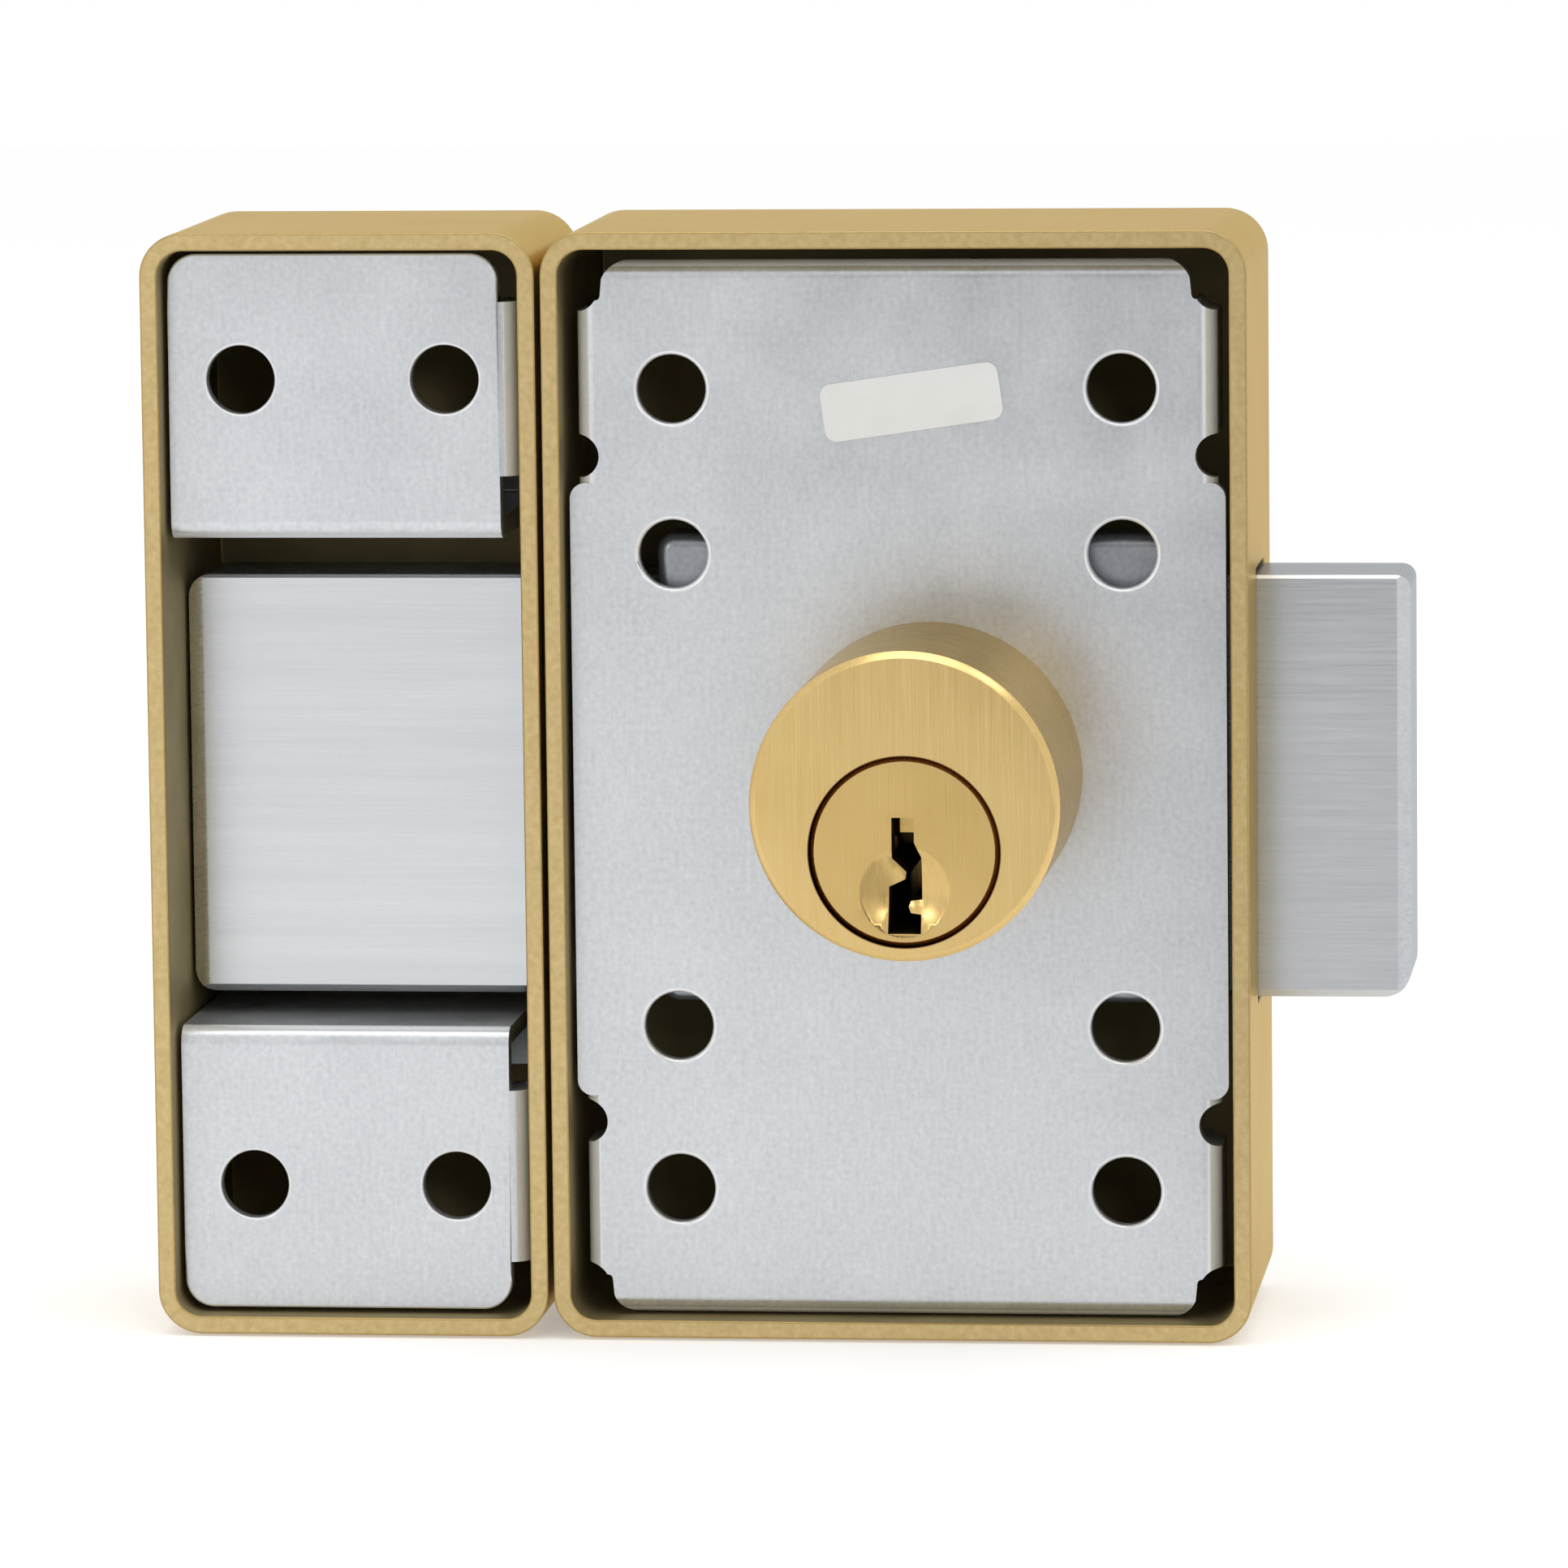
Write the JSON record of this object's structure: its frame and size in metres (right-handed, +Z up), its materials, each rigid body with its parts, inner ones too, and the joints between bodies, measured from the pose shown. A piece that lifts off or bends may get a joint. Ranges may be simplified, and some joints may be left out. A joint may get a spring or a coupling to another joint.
{
  "type": "double cylinder deadbolt",
  "caption": "Surface-mounted rim deadbolt with a brass case, keyed on both sides, a sliding bar bolt and a matching boxed keeper.",
  "frame": {"origin": "centre of the case's outer screw pattern, on the door-side face of the back plate", "axes": "+Y from the door into the room, +Z up, +X along the bolt from the keeper towards its tail"},
  "size_m": [0.0953, 0.059, 0.0842],
  "materials": {
    "cover_brass": "satin",
    "cylinder_brass": "fine turned",
    "plug_brass": "polished",
    "pin_brass": "turned",
    "screw_brass": "polished",
    "zinc_plate": "bright zinc plating",
    "bolt_steel": "ground along its length",
    "machined_steel": "machined",
    "spring_steel": "blued",
    "label_white": "satin film"
  },
  "bodies": {
    "lock_case": {"case_cover": "cover_brass", "keeper_cover": "cover_brass", "back_plate": "zinc_plate", "mechanism_tray": "zinc_plate", "tray_spacers": "zinc_plate", "bolt_guide": "zinc_plate", "keeper_upper_channel": "zinc_plate", "keeper_lower_channel": "zinc_plate", "plate_label": "label_white", "cover_posts": "machined_steel", "brake_rivet": "machined_steel", "outer_cylinder_screws": "machined_steel", "inner_cylinder_screws": "machined_steel", "cover_screws": "screw_brass", "keeper_cover_screws": "screw_brass", "bolt_brake_spring": "spring_steel", "outer_pin_springs": "spring_steel", "inner_pin_springs": "spring_steel", "outer_cylinder_body": "cylinder_brass", "inner_cylinder_body": "cylinder_brass", "inner_ring_nut": "cylinder_brass", "outer_driver_pins": "pin_brass", "inner_driver_pins": "pin_brass"},
    "outer_plug_set": {"outer_plug": "plug_brass", "outer_key_pins": "pin_brass", "outer_plug_clip": "spring_steel", "outer_tailpiece": "machined_steel"},
    "inner_plug_set": {"inner_plug": "plug_brass", "inner_key_pins": "pin_brass", "inner_plug_clip": "spring_steel", "inner_tailpiece": "machined_steel"},
    "bolt_set": {"bolt": "bolt_steel", "bolt_stop_pin": "machined_steel"},
    "pinion": {"drive_pinion": "machined_steel"}
  },
  "joints": [
    {"name": "outer_plug_turn", "type": "hinge", "parent": "lock_case", "child": "outer_plug_set", "pos_m": [0.0024, 0, -0.00195], "axis": [0, -1, 0], "range_deg": [0, 360]},
    {"name": "pinion_turn", "type": "hinge", "parent": "lock_case", "child": "pinion", "pos_m": [0.0024, 0, -0.00195], "axis": [0, -1, 0], "range_deg": [0, 360]},
    {"name": "bolt_slide", "type": "slide", "parent": "lock_case", "child": "bolt_set", "axis": [1, 0, 0], "range_m": [0, 0.0293]},
    {"name": "inner_plug_turn", "type": "hinge", "parent": "lock_case", "child": "inner_plug_set", "pos_m": [0.0024, 0, -0.00195], "axis": [0, -1, 0], "range_deg": [0, 360]}
  ],
  "couplings": [
    {"joint": "pinion_turn", "follows": "bolt_slide", "rad_per_m": 214.44},
    {"joint": "outer_plug_turn", "follows": "bolt_slide", "rad_per_m": 214.44}
  ]
}
